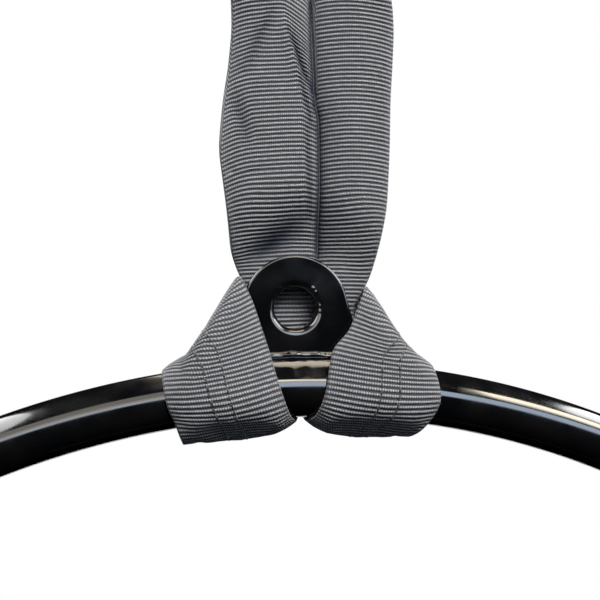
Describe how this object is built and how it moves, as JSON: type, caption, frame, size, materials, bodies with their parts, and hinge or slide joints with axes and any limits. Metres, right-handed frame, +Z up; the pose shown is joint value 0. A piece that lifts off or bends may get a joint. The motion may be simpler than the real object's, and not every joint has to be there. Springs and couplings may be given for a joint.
{
  "type": "aerial hoop",
  "caption": "Aerial hoop: a round bent steel tube ring with a welded suspension tab, hung on a round sling girth-hitched over the tab.",
  "frame": {"origin": "the point inside the sling's top bight that bears on whatever carries the hoop", "axes": "+Z up along the sling, the ring in the XZ plane, -Y towards the viewer of the picture"},
  "size_m": [0.8, 0.0516, 1.0613],
  "materials": {
    "black_paint": "high-gloss black powder coat",
    "bare_steel": "bare steel",
    "charcoal_webbing": "ribbed woven polyester, matt charcoal grey",
    "core_yarn": "undyed off-white polyester yarn"
  },
  "bodies": {
    "sling_top": {"top_bight_sleeve": "charcoal_webbing", "top_bight_core": "core_yarn"},
    "sling_legs": {"left_leg_sleeve": "charcoal_webbing", "left_leg_core": "core_yarn", "right_leg_sleeve": "charcoal_webbing", "right_leg_core": "core_yarn"},
    "hoop": {"ring_tube": "black_paint", "ring_closing_weld": "black_paint", "ring_joint_sleeve": "bare_steel", "suspension_tab": "black_paint", "tab_weld_front": "black_paint", "tab_weld_rear": "black_paint", "left_wrap_sleeve": "charcoal_webbing", "left_wrap_core": "core_yarn", "right_wrap_sleeve": "charcoal_webbing", "right_wrap_core": "core_yarn", "rear_bight_sleeve": "charcoal_webbing", "rear_bight_core": "core_yarn"}
  },
  "joints": [
    {"name": "sling_twist", "type": "hinge", "parent": "sling_top", "child": "sling_legs", "pos_m": [0, 0, -0.095], "axis": [0, 0, 1], "range_deg": [-90, 90]},
    {"name": "hoop_swing", "type": "hinge", "parent": "sling_legs", "child": "hoop", "pos_m": [0, 0, -0.1805], "axis": [1, 0, 0], "range_deg": [-75, 75]}
  ]
}
